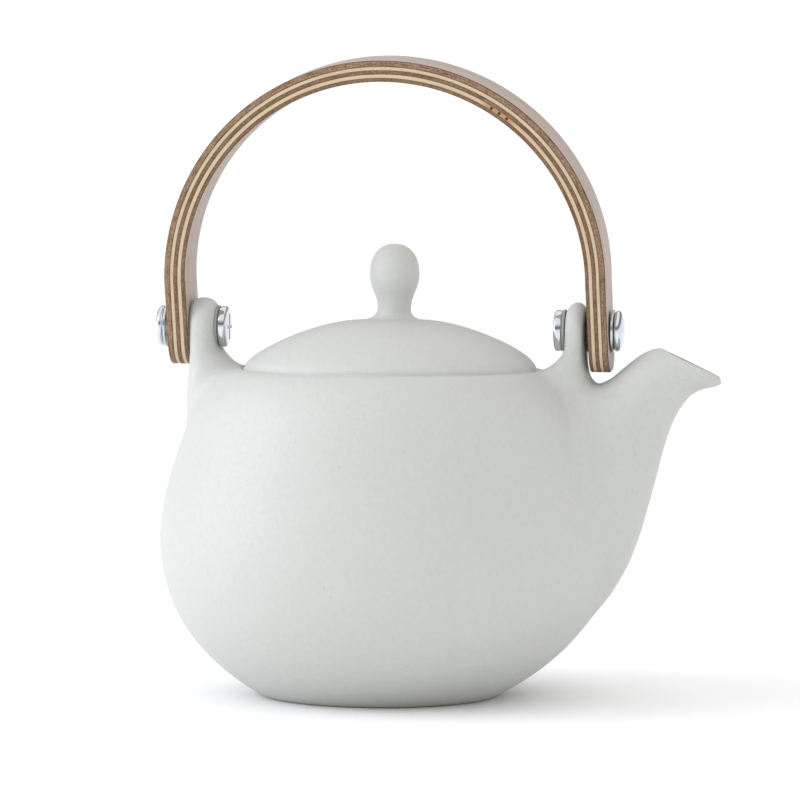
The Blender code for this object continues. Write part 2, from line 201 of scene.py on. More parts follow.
# Binding posts. A dome says how far its seat is rolled in, where its side ends and where
# its curve pulls, as shares of its height, and how wide its flat top is, as a share.
POST_SHIFTS = {("left", "outer"): -1.4, ("left", "inner"): -1.2,
               ("right", "outer"): 0.3, ("right", "inner"): 1.3}
POST_DROP = 0.35
NUT_DOME = (1.0, 0.36, 0.74, 0.6)
SCREW_DOME = (0.5, 0.55, 0.92, 0.85)
BARREL_RADIUS = 2.5
BORE_RADIUS = 1.8
SHANK_RADIUS = 1.5
RECESS_SIZE = (7.6, 1.0, 1.9)
WASHER_HOLE_RADIUS = 2.8
WASHER_ROUND = 0.15


# ---- Finishes ------------------------------------------------------------------------


class Number:
    """A number or vector flowing through some nodes, with Python's own arithmetic."""

    def __init__(self, nodes, socket):
        self.nodes = nodes
        self.socket = socket

    def maths(self, operation, *terms):
        return self.nodes.node("ShaderNodeMath", {"operation": operation}, *terms)

    def __add__(self, other):
        return self.maths("ADD", self, other)

    def __sub__(self, other):
        return self.maths("SUBTRACT", self, other)

    def __rsub__(self, other):
        return self.maths("SUBTRACT", other, self)

    def __mul__(self, other):
        return self.maths("MULTIPLY", self, other)

    __radd__ = __add__
    __rmul__ = __mul__

    def __gt__(self, other):
        return self.maths("GREATER_THAN", self, other)

    def size(self):
        return self.maths("ABSOLUTE", self)

    def step(self, low, high):
        """Runs smoothly from 0 at low to 1 at high."""
        settings = {"interpolation_type": "SMOOTHSTEP"}
        return self.nodes.node("ShaderNodeMapRange", settings, self, low, high, 0.0, 1.0)


class Nodes:
    """Adds and joins the nodes of one material or world."""

    def __init__(self, tree):
        self.tree = tree

    def node(self, kind, settings, *inputs, output=0):
        """Adds a node. Settings come first, then its inputs in order, None to leave one."""
        made = self.tree.nodes.new(kind)
        for name, value in settings.items():
            setattr(made, name, value)
        free = [socket for socket in made.inputs if socket.enabled]
        for socket, value in zip(free, inputs):
            self.feed(socket, value)
        found = [socket for socket in made.outputs if socket.enabled][output]
        return Number(self, found)

    def feed(self, socket, value):
        if isinstance(value, Number):
            self.tree.links.new(value.socket, socket)
        elif value is not None:
            socket.default_value = value

    def place(self):
        return self.node("ShaderNodeTexCoord", {}, output=3)

    def part_of(self, vector, axis):
        return self.node("ShaderNodeSeparateXYZ", {}, vector, output="XYZ".index(axis))

    def reach(self, vector, direction):
        """How far a vector goes in a direction."""
        return self.node("ShaderNodeVectorMath", {"operation": "DOT_PRODUCT"}, vector, direction)

    def stretched(self, vector, scale):
        return self.node("ShaderNodeVectorMath", {"operation": "MULTIPLY"}, vector, scale)

    def noise(self, vector, scale, detail=2.0, roughness=0.5):
        return self.node("ShaderNodeTexNoise", {}, vector, scale, detail, roughness)

    def blend(self, factor, first, second):
        """Mixes two colours."""
        settings = {"data_type": "RGBA", "clamp_factor": True}
        return self.node("ShaderNodeMix", settings, factor, first, second)


class Finish(Nodes):
    """One material, and what reaches its shader."""

    def __init__(self, name, **constants):
        self.material = bpy.data.materials.new(name)
        self.material.use_nodes = True
        super().__init__(self.material.node_tree)
        self.shader = self.tree.nodes["Principled BSDF"]
        for socket, value in constants.items():
            self.shader.inputs[socket.replace("_", " ")].default_value = value

    def paint(self, socket, value):
        self.feed(self.shader.inputs[socket], value)

    def relief(self, height, depth, strength):
        bump = self.node("ShaderNodeBump", {}, strength, depth, None, height)
        self.feed(self.shader.inputs["Normal"], bump)


def glaze(name, has_mouth):
    """Matt warm white glaze: faint clouding and fine pits, bare clay at the foot and lip."""
    finish = Finish(name, Specular_IOR_Level=0.4)
    place = finish.place()
    clouds = finish.noise(place, 30.0, 3.0)
    grain = finish.noise(place, 620.0, 2.0)
    pits = finish.noise(place, 1500.0, 1.0).step(0.60, 0.72)
    specks = finish.noise(place, 800.0, 1.0).step(0.74, 0.78)
    white = finish.blend(clouds, (0.530, 0.540, 0.512, 1), (0.556, 0.564, 0.538, 1))
    mottled = finish.blend(grain.step(0.35, 0.7) * 0.3, white, (0.50, 0.506, 0.474, 1))
    speckled = finish.blend(specks * 0.3, mottled, (0.40, 0.37, 0.31, 1))
    clay = finish.blend(grain, (0.46, 0.42, 0.34, 1), (0.52, 0.47, 0.39, 1))
    bare = 1 - finish.part_of(place, "Z").step(0.25 * MM, 0.8 * MM)
    if has_mouth:
        mouth = mouth_place()
        outwards, middle = mouth.to_3x3().col[2], mouth.translation * MM
        level = finish.reach(place, outwards) - (outwards.dot(middle) - 0.12 * MM)
        near_mouth = finish.part_of(place, "X") > 0.07
        bare = bare + (level > 0) * near_mouth * 0.8
    finish.paint("Base Color", finish.blend(bare, speckled, clay))
    finish.paint("Roughness", 0.45 + clouds * 0.08 + pits * 0.08 + bare * 0.25)
    finish.relief(grain * 0.8 - pits * 0.7 + clouds * 0.8, depth=0.00011, strength=0.6)
    return finish.material


class Ply:
    """Where a point of a ply lies: along the bend, and through the ply from 0 to 1."""

    def __init__(self, finish, inner, thickness):
        settings = {"attribute_name": "ply_place"}
        self.place = finish.node("ShaderNodeAttribute", settings, output=1)
        self.along = finish.part_of(self.place, "X")
        depth = (finish.part_of(self.place, "Z") - inner * MM) * (1 / (thickness * MM))
        self.depth = depth
        self.glue = 1 - depth.step(0.02, 0.2) * (1 - depth.step(0.8, 0.98))

    def near(self, middle, reach, full):
        """1 close to a place along the ply, fading out to 0 at its reach."""
        return 1 - (self.along - middle * MM).size().step(reach * MM * full, reach * MM)


def end_grain(name, inner, thickness, dark, light):
    """The edge of a ply that runs across the bail: speckled with cut pores."""
    finish = Finish(name, Specular_IOR_Level=0.3)
    ply = Ply(finish, inner, thickness)
    cells = finish.noise(finish.stretched(ply.place, (1900, 2600, 2600)), 1.0, 2.0)
    patches = finish.noise(finish.stretched(ply.place, (110, 300, 300)), 1.0, 2.0)
    streaks = finish.noise(finish.stretched(ply.place, (170, 2200, 2200)), 1.0, 1.0)
    shade = cells.step(0.3, 0.7) * 0.75 + patches * 0.6 - 0.2
    wood = finish.blend(shade, dark, light)
    burnt = ply.glue * 0.85 + streaks.step(0.54, 0.66) * 0.6
    finish.paint("Base Color", finish.blend(burnt, wood, (0.105, 0.052, 0.022, 1)))
    finish.paint("Roughness", 0.5 + cells * 0.25)
    finish.relief(cells * 0.7 - ply.glue * 0.5, depth=0.00012, strength=0.6)
    return finish.material


def long_grain(name, inner, thickness, light, deep, knotted):
    """The edge of a ply that runs along the bail: smooth and pale, with a knot in one."""
    finish = Finish(name, Specular_IOR_Level=0.35)
    ply = Ply(finish, inner, thickness)
    fibres = finish.noise(finish.stretched(ply.place, (120, 2400, 2400)), 1.0, 3.0, 0.6)
    patches = finish.noise(finish.stretched(ply.place, (45, 120, 120)), 1.0, 2.0)
    wood = finish.blend(fibres.step(0.35, 0.7) * 0.6 + patches * 0.3, light, deep)
    wood = finish.blend(ply.glue * 0.8, wood, (0.26, 0.155, 0.075, 1))
    if knotted:
        stain = ply.near(*KNOT_STAIN, 0.5)
        wood = finish.blend(stain * 0.9, wood, (0.42, 0.235, 0.115, 1))
        for middle, reach in KNOT_HOLES:
            hole = ply.near(middle, reach, 0.6) * (1 - (ply.depth - 0.5).size().step(0.3, 0.5))
            wood = finish.blend(hole * 0.95, wood, (0.022, 0.014, 0.016, 1))
    finish.paint("Base Color", wood)
    finish.paint("Roughness", 0.42 + fibres * 0.2)
    finish.relief(fibres * 0.6 - ply.glue * 0.5, depth=0.0001, strength=0.5)
    return finish.material


def veneer_face(name):
    """The bail's broad face: pale pinkish wood with long fine pores."""
    finish = Finish(name, Specular_IOR_Level=0.35)
    place = finish.node("ShaderNodeAttribute", {"attribute_name": "ply_place"}, output=1)
    grain = finish.noise(finish.stretched(place, (16, 420, 420)), 1.0, 4.0, 0.55)
    pores = finish.noise(finish.stretched(place, (150, 3200, 3200)), 1.0, 1.0).step(0.58, 0.68)
    bands = finish.noise(finish.stretched(place, (5, 90, 90)), 1.0, 2.0)
    wood = finish.blend(grain.step(0.3, 0.75), (0.48, 0.395, 0.35, 1), (0.385, 0.305, 0.262, 1))
    toned = finish.blend(bands * 0.5, wood, (0.55, 0.46, 0.41, 1))
    finish.paint("Base Color", finish.blend(pores * 0.4, toned, (0.24, 0.165, 0.125, 1)))
    finish.paint("Roughness", 0.42 + grain * 0.2)
    finish.relief(grain * 0.7 - pores * 0.8, depth=0.0001, strength=0.5)
    return finish.material


def metal(name, color, smooth, rough, brushed):
    """Plated or rolled metal with faint polishing marks."""
    finish = Finish(name, Metallic=1.0)
    place = finish.place()
    marks = finish.noise(finish.stretched(place, brushed), 1.0, 2.0)
    dull = finish.noise(place, 260.0, 2.0)
    finish.paint("Base Color", finish.blend(dull, (*color, 1), (*(c * 0.9 for c in color), 1)))
    finish.paint("Roughness", smooth + marks * (rough - smooth))
    finish.relief(marks, depth=0.00002, strength=0.3)
    return finish.material


def rubber(name, color):
    """Dull soft sheet with a fine grain."""
    finish = Finish(name, Specular_IOR_Level=0.3)
    grain = finish.noise(finish.place(), 1400.0, 2.0)
    finish.paint("Base Color", finish.blend(grain, (*color, 1), (*(c * 1.6 for c in color), 1)))
    finish.paint("Roughness", 0.6 + grain * 0.25)
    finish.relief(grain, depth=0.00005, strength=0.4)
    return finish.material


# ---- Shaping helpers -----------------------------------------------------------------


def bezier(start, start_pull, end_pull, end, count):
    """Points of one cubic curve, without its last point."""
    found = []
    for i in range(count):
        t = i / count
        u = 1 - t
        weights = (u**3, 3 * u * u * t, 3 * u * t * t, t**3)
        corners = (start, start_pull, end_pull, end)
        found.append(tuple(sum(w * c[k] for w, c in zip(weights, corners)) for k in (0, 1)))
    return found


def arc(middle, radius, start, end, count):
    """Points round a circle in the XZ plane, both ends included, angles in degrees."""
    turns = [radians(start + (end - start) * i / count) for i in range(count + 1)]
    return [(middle[0] + radius * cos(a), middle[1] + radius * sin(a)) for a in turns]


def eased(value, low, high):
    """Runs smoothly from 0 at low to 1 at high."""
    share = min(1, max(0, (value - low) / (high - low)))
    return share * share * (3 - 2 * share)


def through(rows, between):
    """Rows of numbers with smooth in-between rows added (Catmull-Rom)."""
    rows = [rows[0], *rows, rows[-1]]
    found = []
    for a, b, c, d in zip(rows, rows[1:], rows[2:], rows[3:]):
        for step in range(between):
            t = step / between
            found.append(tuple(
                0.5 * (2 * q + (r - p) * t + (2 * p - 5 * q + 4 * r - s) * t * t
                       + (3 * q - p - 3 * r + s) * t**3)
                for p, q, r, s in zip(a, b, c, d)))
    return [*found, rows[-1]]


def turned(outline, steps):
    """A closed shape turned about Z from (radius, height) points."""
    bm = bmesh.new()
    points = [bm.verts.new((radius, 0, z)) for radius, z in outline]
    edges = [bm.edges.new(pair) for pair in zip(points, points[1:])]
    if outline[0][0] > 0:
        edges.append(bm.edges.new((points[-1], points[0])))
    bmesh.ops.spin(bm, geom=points + edges, axis=(0, 0, 1), angle=2 * pi, steps=steps,
                   use_merge=True)
    bmesh.ops.remove_doubles(bm, verts=bm.verts, dist=0.001)
    bmesh.ops.recalc_face_normals(bm, faces=bm.faces)
    return bm


def oval_loop(bm, place, half_width, half_height, count, squareness):
    """A closed loop of edges, an ellipse at 2 and squarer above, laid out by a matrix."""
    made = bmesh.ops.create_circle(bm, segments=count, radius=1)["verts"]
    for vertex in made:
        x, y = vertex.co.x, vertex.co.y
        longer = (abs(x) ** squareness + abs(y) ** squareness) ** (-1 / squareness)
        vertex.co = place @ Vector((x * longer * half_width, y * longer * half_height, 0))
    return list({edge for vertex in made for edge in vertex.link_edges})


def skinned(bm, loops):
    """Bridges each loop to the next and closes the two ends."""
    for low, high in zip(loops, loops[1:]):
        bmesh.ops.bridge_loops(bm, edges=low + high)
    bmesh.ops.edgeloop_fill(bm, edges=loops[0])
    bmesh.ops.edgeloop_fill(bm, edges=loops[-1])
    bmesh.ops.recalc_face_normals(bm, faces=bm.faces)
    return bm


def as_object(name, bm, scale=MM):
    """A bmesh in millimetres as an object in metres."""
    bmesh.ops.scale(bm, vec=(scale, scale, scale), verts=bm.verts)
    mesh = bpy.data.meshes.new(name)
    bm.to_mesh(mesh)
    bm.free()
    made = bpy.data.objects.new(name, mesh)
    bpy.context.scene.collection.objects.link(made)
    return made


def applied(obj):
    """The object's mesh with its modifiers made permanent."""
    graph = bpy.context.evaluated_depsgraph_get()
    done = bpy.data.meshes.new_from_object(obj.evaluated_get(graph))
    obj.modifiers.clear()
    obj.data = done
    return obj


def cut(obj, *tools):
    """Takes each tool's volume away from obj, and removes the tool."""
    for tool in tools:
        step = obj.modifiers.new("cut", "BOOLEAN")
        step.operation = "DIFFERENCE"
        step.solver = "MANIFOLD"
        step.object = tool
        applied(obj)
        bpy.data.objects.remove(tool)
    return obj


def fused(name, voxel, *volumes):
    """One skin round several overlapping volumes, as even small faces."""
    joined = bmesh.new()
    for volume in volumes:
        joined.from_mesh(volume.data)
        bpy.data.objects.remove(volume)
    obj = as_object(name, joined, 1)
    step = obj.modifiers.new("fuse", "REMESH")
    step.mode = "VOXEL"
    step.voxel_size = voxel * MM
    return applied(obj)


def relax(obj, rounds, reach=0, *near):
    """Smooths the points that lie within reach of every surface in near, or all of them."""
    bm = bmesh.new()
    bm.from_mesh(obj.data)
    verts = list(bm.verts)
    for tree in near:
        verts = [v for v in verts if tree.find_nearest(v.co, reach * MM)[0] is not None]
    for _ in range(rounds):
        bmesh.ops.smooth_vert(bm, verts=verts, factor=0.5, use_axis_x=True, use_axis_y=True,
                              use_axis_z=True)
    bm.to_mesh(obj.data)
    bm.free()


def surface_of(obj):
    return BVHTree.FromObject(obj, bpy.context.evaluated_depsgraph_get())


def show(obj, material, body, slot, *nodes, sharp=40):
    """Finishes a piece: its look, its body and the parts of the frame it stands for."""
    obj.data.materials.clear()
    obj.data.materials.append(material)
    obj.data.shade_smooth()
    obj.data.set_sharp_from_angle(angle=radians(sharp))
    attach(obj, body)
    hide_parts(*nodes)
    return obj


# ---- Pot -----------------------------------------------------------------------------


def pot_outline():
    """The outside, from the middle of the base up to the rim and in to the axis."""
    belly = (BELLY_RADIUS, BELLY_Z)
    rim = (RIM_RADIUS + 1.0, RIM_Z)
    low = bezier((FOOT_RADIUS, 0), (57.6, 11.6), (BELLY_RADIUS, 27.6), belly, 30)
    high = bezier(belly, (BELLY_RADIUS, 61.1), (60.9, 80.2), SHOULDER, 16)
    top = bezier(SHOULDER, (55.9, 91.7), (49.5, RIM_Z), rim, 16)
    return [(0, 0)] + low + high + top + [rim, (0, RIM_Z)]


def cavity_outline():
    """The hollow, from the middle of its floor up through the neck and past the rim."""
    belly = (BELLY_RADIUS - POT_WALL, BELLY_Z)
    neck = (LEDGE_RADIUS, LEDGE_Z - LEDGE_DEPTH)
    past_rim = RIM_Z + 6
    low = bezier((FOOT_RADIUS - 1, POT_WALL), (46.5, 8.5), (belly[0], 22.0), belly, 20)
    high = bezier(belly, (belly[0], 67.0), (58.5, 88.0), neck, 20)
    return [(0, POT_WALL)] + low + high + [neck, (LEDGE_RADIUS, past_rim), (0, past_rim)]


def seat_outline():
    """The recess that holds the strainer's flange and the lid, with a rounded rim."""
    past_rim = RIM_Z + 4
    corner = arc((RIM_RADIUS - SEAT_ROUND, LEDGE_Z + SEAT_ROUND), SEAT_ROUND, -90, 0, 4)
    lip = arc((RIM_RADIUS + RIM_ROUND, RIM_Z - RIM_ROUND), RIM_ROUND, 180, 95, 5)
    return [(0, LEDGE_Z), *corner, *lip, (RIM_RADIUS + RIM_ROUND, past_rim), (0, past_rim)]


def across(under, top):
    """Where a spout section lies: its sideways, its up and its outward direction."""
    up = (top - under).normalized()
    turn = Matrix((Vector((0, 1, 0)), up, Vector((up.z, 0, -up.x)))).transposed()
    return Matrix.Translation((under + top) / 2) @ turn.to_4x4()


def spout_volume(wall, lip, skipped, spare, grown):
    """The spout from inside the belly past its mouth, drawn in by the wall's thickness.

    It leaves out the skipped first sections, and runs on by spare to an end that is grown.
    """
    flat = [(*under, *top, width) for under, top, width in SPOUT_SECTIONS[skipped:]]
    rows = through(flat, 5)
    oval = (SPOUT_SIDES, SPOUT_SQUARENESS)
    bm = bmesh.new()
    loops = []
    for i, (under_x, under_z, top_x, top_z, width) in enumerate(rows):
        thick = wall + (lip - wall) * i / (len(rows) - 1)
        under, top = Vector((under_x, 0, under_z)), Vector((top_x, 0, top_z))
        place = across(under, top)
        half_width, half_height = width / 2 - thick, (top - under).length / 2 - thick
        loops.append(oval_loop(bm, place, half_width, half_height, *oval))
    further = place @ Matrix.Translation((0, 0, spare))
    loops.append(oval_loop(bm, further, half_width + grown, half_height + grown, *oval))
    return skinned(bm, loops)


def mouth_place():
    """The plane of the mouth, turned a little down on the far side."""
    return across(MOUTH_TIP, MOUTH_TOP) @ Matrix.Rotation(MOUTH_TURN, 4, "Y")


def mouth_trimmer():
    """A block that ends flat on the plane of the spout's mouth."""
    length = 10
    bm = bmesh.new()
    bmesh.ops.create_cube(bm, size=1)
    bmesh.ops.scale(bm, vec=(30, 34, length), verts=bm.verts)
    bmesh.ops.translate(bm, verts=bm.verts, vec=(0, 0, length / 2))
    bmesh.ops.transform(bm, matrix=mouth_place(), verts=bm.verts)
    return as_object("mouth_trimmer", bm)


def lug_volume(side):
    """One lug as level sections, from inside the shoulder up over the pivot."""
    rows = through(LUG_SECTIONS, 3)
    for i in range(1, LUG_CROWN_STEPS + 1):
        turn = radians(LUG_CROWN_TURN * i / LUG_CROWN_STEPS)
        z = PIVOT_Z + LUG_RISE * sin(turn)
        short = max(0, LUG_CROWN - LUG_RISE * (1 - sin(turn)))
        inset = LUG_CROWN - sqrt(LUG_CROWN**2 - short**2)
        near = LUG_INNER_X + inset + LUG_CROWN_LEAN * sin(turn) ** 2
        rows.append((z, near, LUG_OUTER_X - inset, LUG_HALF_WIDTH * cos(turn)))
    inner_shift, outer_shift = LUG_SHIFTS[side]
    bm = bmesh.new()
    loops = []
    for z, near, far, half_width in rows:
        share = eased(z, *LUG_SHIFT_Z)
        near, far = near + inner_shift * share, far + outer_shift * share
        place = Matrix.Translation((side * (near + far) / 2, 0, z))
        loops.append(oval_loop(bm, place, (far - near) / 2, half_width, LUG_SIDES,
                               LUG_SQUARENESS))
    return skinned(bm, loops)


def post_hole():
    """A rod along X through everything at the pivot."""
    bm = bmesh.new()
    bmesh.ops.create_cone(bm, cap_ends=True, segments=48, radius1=POST_HOLE_RADIUS,
                          radius2=POST_HOLE_RADIUS, depth=2 * SPOUT_END_X)
    bmesh.ops.rotate(bm, verts=bm.verts, matrix=Matrix.Rotation(pi / 2, 3, "Y"))
    bmesh.ops.translate(bm, verts=bm.verts, vec=(0, 0, PIVOT_Z))
    return as_object("post_hole", bm)


def settled(obj):
    """Draws the foot back from the spout, as the body leans and is tucked in below it."""
    for vertex in obj.data.vertices:
        x, z = vertex.co.x / MM, vertex.co.z / MM
        below = max(0, 1 - z / SHOULDER[1])
        tuck = max(0, x / BELLY_RADIUS) * max(0, 1 - z / TUCK_TOP_Z)
        vertex.co.x -= (BASE_OFFSET * below**4 + SPOUT_SIDE_TUCK * tuck) * MM


def make_pot(glaze_finish):
    """One glazed skin round body, spout and lugs, blended at the joins and then hollowed."""
    belly = as_object("belly", turned(pot_outline(), POT_TURN_STEPS))
    spout = as_object("spout", spout_volume(0, 0, skipped=0, spare=1.8, grown=-1.6))
    lugs = [as_object("lug", lug_volume(side)) for side in (-1, 1)]
    belly_skin, spout_skin = surface_of(belly), surface_of(spout)
    lug_skins = [surface_of(lug) for lug in lugs]
    pot = fused("pot", SKIN_GRAIN, belly, spout, *lugs)
    for reach, rounds in SPOUT_BLEND:
        relax(pot, rounds, reach, belly_skin, spout_skin)
    for lug_skin in lug_skins:
        for reach, rounds in LUG_BLEND:
            relax(pot, rounds, reach, belly_skin, lug_skin)
    reach, rounds = SPOUT_TO_LUG_BLEND
    relax(pot, rounds, reach, spout_skin, lug_skins[1])
    relax(pot, SKIN_SMOOTHING)

    cavity = as_object("cavity", turned(cavity_outline(), CAVITY_TURN_STEPS))
    passage = as_object("passage", spout_volume(SPOUT_WALL, SPOUT_LIP, skipped=1, spare=3.0,
                                                grown=0.6))
    hollow = fused("hollow", HOLLOW_GRAIN, cavity, passage)
    relax(hollow, HOLLOW_SMOOTHING)
    settled(pot)
    settled(hollow)
    seat = as_object("seat", turned(seat_outline(), POT_TURN_STEPS))
    cut(pot, mouth_trimmer(), hollow, seat, post_hole())
    show(pot, glaze_finish, "pot", "pot_glaze", "pot_body", "spout", "left_lug", "right_lug")


# ---- Lid -----------------------------------------------------------------------------


def lid_outline():
    """From the top of the knob down the outside, round the skirt and up the underside."""
    seat_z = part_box("strainer_rim")[1].z / MM + FIT
    edge = (LID_RADIUS - 0.45, LID_EDGE_Z)
    inner = SKIRT_RADIUS - LID_WALL
    under_top = (0, DOME_START[1] - LID_WALL)
    knob = bezier((0, KNOB_TOP_Z), (4.6, KNOB_TOP_Z), (KNOB_SIDE[0], 131.5), KNOB_SIDE, 16)
    waist = bezier(KNOB_SIDE, (KNOB_SIDE[0], 121.5), (NECK[0], 120.0), NECK, 12)
    flare = bezier(NECK, (NECK[0], 113.6), (6.5, 112.6), DOME_START, 10)
    cap = bezier(DOME_START, (21.1, 112.5), (43.3, 102.8), edge, 28)
    rolled = arc((LID_RADIUS - LID_EDGE_ROUND, LID_EDGE_Z - 0.65), LID_EDGE_ROUND, 75, 0, 4)
    shelf = [(LID_RADIUS, seat_z + 0.3), (LID_RADIUS - 0.3, seat_z)]
    corner = [(SKIRT_RADIUS + 0.5, seat_z), (SKIRT_RADIUS, seat_z - 0.5)]
    foot_middle = ((SKIRT_RADIUS + inner) / 2, SKIRT_BOTTOM_Z + LID_WALL / 2)
    foot = arc(foot_middle, LID_WALL / 2, 0, -180, 10)
    under = bezier((inner, 96.0), (inner, 103.0), (20.0, under_top[1]), under_top, 20)
    return knob + waist + flare + cap + rolled + shelf + corner + foot + under + [under_top]


def make_lid(glaze_finish):
    """The lid in one piece, its dome and knob a little off centre, with a steam hole."""
    bm = turned(lid_outline(), LID_TURN_STEPS)
    for vertex in bm.verts:
        vertex.co.x += DOME_OFFSET * eased(vertex.co.z, *DOME_OFFSET_Z)
        vertex.co.x += KNOB_OFFSET * eased(vertex.co.z, *KNOB_OFFSET_Z)
    lid = as_object("domed_lid", bm)
    drill = bmesh.new()
    bmesh.ops.create_cone(drill, cap_ends=True, segments=32, radius1=VENT_RADIUS,
                          radius2=VENT_RADIUS, depth=14)
    bmesh.ops.translate(drill, verts=drill.verts, vec=(0, VENT_Y, VENT_Z))
    flare = bmesh.new()
    bmesh.ops.create_cone(flare, cap_ends=True, segments=32, radius1=VENT_RADIUS - 0.3,
                          radius2=VENT_RADIUS + 0.9, depth=1.6)
    bmesh.ops.translate(flare, verts=flare.verts, vec=(0, VENT_Y, VENT_FLARE_Z))
    cut(lid, as_object("vent", drill), as_object("vent_flare", flare))
    show(lid, glaze_finish, "lid", "lid_glaze", "lid")


# ---- Strainer ------------------------------------------------------------------------


def punched(bm, border):
    """Opens a hole in every face but the border's, then gives the sheet its thickness."""
    faces = [face for face in bm.faces if not border(face.calc_center_median())]
    bmesh.ops.inset_individual(bm, faces=faces, thickness=SIEVE_BAR, use_even_offset=True)
    bmesh.ops.delete(bm, geom=faces, context="FACES")
    bmesh.ops.recalc_face_normals(bm, faces=bm.faces)
    bmesh.ops.solidify(bm, geom=bm.faces[:], thickness=SIEVE_SHEET)
    return bm


def strainer_rim_outline(low, high, outer):
    """The flange that rests on the ledge, with the collar that hangs from it."""
    inner = COLLAR_INNER_RADIUS
    collar = [(inner, low), (inner + SHEET, low), (inner + SHEET, high - 1.1)]
    underside = [(inner + 1.1, high - SHEET), (outer - 0.3, high - SHEET)]
    edge = [(outer, high - 0.3), (outer - 0.3, high)]
    throat = [(inner + 0.9, high), (inner + 0.2, high - 0.35), (inner, high - 0.9)]
    return [*collar, *underside, *edge, *throat, collar[0]]


def hoop_outline(low, high, outer):
    """The ring at the strainer's foot: a low wall turned in under the floor."""
    inner = outer - HOOP_WIDTH
    under = [(inner, low), (outer - 0.3, low), (outer, low + 0.3)]
    wall = [(outer, high), (outer - SHEET, high), (outer - SHEET, low + SHEET)]
    return [*under, *wall, (inner, low + SHEET), under[0]]


def sieve_wall(foot, top, low, high, holes_low, holes_high):
    """The cone of open sheet between the hoop and the collar, with plain borders."""
    slope = [(foot, low), (foot, holes_low)]
    for i in range(1, SIEVE_ROWS + 1):
        share = i / SIEVE_ROWS
        slope.append((foot + (top - foot) * share,
                      holes_low + (holes_high - holes_low) * share))
    slope.append((top, high))
    bm = bmesh.new()
    points = [bm.verts.new((radius, 0, z)) for radius, z in slope]
    edges = [bm.edges.new(pair) for pair in zip(points, points[1:])]
    bmesh.ops.spin(bm, geom=points + edges, axis=(0, 0, 1), angle=2 * pi, steps=SIEVE_COLUMNS,
                   use_merge=True)
    return punched(bm, lambda middle: not holes_low < middle.z < holes_high)


def sieve_floor(radius, z):
    """The disc of open sheet, with a plain border."""
    bm = bmesh.new()
    bmesh.ops.create_grid(bm, x_segments=FLOOR_HOLES_ACROSS, y_segments=FLOOR_HOLES_ACROSS,
                          size=radius)
    outside = [vertex for vertex in bm.verts if vertex.co.length > radius]
    bmesh.ops.delete(bm, geom=outside, context="VERTS")
    bmesh.ops.translate(bm, verts=bm.verts, vec=(0, 0, z))
    solid = radius - FLOOR_BORDER
    return punched(bm, lambda middle: Vector((middle.x, middle.y)).length > solid)


def make_strainer(rim_finish, mesh_finish):
    rim_low, rim_high = (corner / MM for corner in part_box("strainer_rim"))
    ring_low, ring_high = (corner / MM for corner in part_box("strainer_base_ring"))
    wall_low, wall_high = (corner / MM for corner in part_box("strainer_wall"))
    floor_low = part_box("strainer_floor")[0] / MM

    rim_outline = strainer_rim_outline(rim_low.z, rim_high.z, -rim_low.x)
    rim = as_object("strainer_rim_ring", turned(rim_outline, STRAINER_TURN_STEPS))
    show(rim, rim_finish, "strainer", "strainer_rim_steel", "strainer_rim")

    base = ring_high.x
    hoop = as_object("strainer_hoop", turned(hoop_outline(ring_low.z, ring_high.z, base),
                                             STRAINER_TURN_STEPS))
    show(hoop, rim_finish, "strainer", "strainer_ring_steel", "strainer_base_ring")

    wall = as_object("strainer_sieve", sieve_wall(
        foot=base - SIEVE_FOOT_INSET, top=wall_high.x - SHEET / 2, low=wall_low.z,
        high=wall_high.z, holes_low=ring_high.z + SIEVE_BORDER,
        holes_high=rim_low.z - SIEVE_BORDER))
    show(wall, mesh_finish, "strainer", "strainer_mesh_steel", "strainer_wall")

    disc = as_object("strainer_sieve_floor",
                     sieve_floor(base - FLOOR_INSET, floor_low.z + SIEVE_SHEET))
    show(disc, mesh_finish, "strainer", "strainer_floor_steel", "strainer_floor")


# ---- Bail ----------------------------------------------------------------------------


def pushed(bm, edges, distance):
    """Extends a loop of edges up or down, and gives the new loop."""
    made = bmesh.ops.extrude_edge_only(bm, edges=edges)["geom"]
    verts = [item for item in made if isinstance(item, bmesh.types.BMVert)]
    bmesh.ops.translate(bm, verts=verts, vec=(0, 0, distance))
    ends = set(verts)
    return [item for item in made if isinstance(item, bmesh.types.BMEdge)
            and set(item.verts) <= ends]


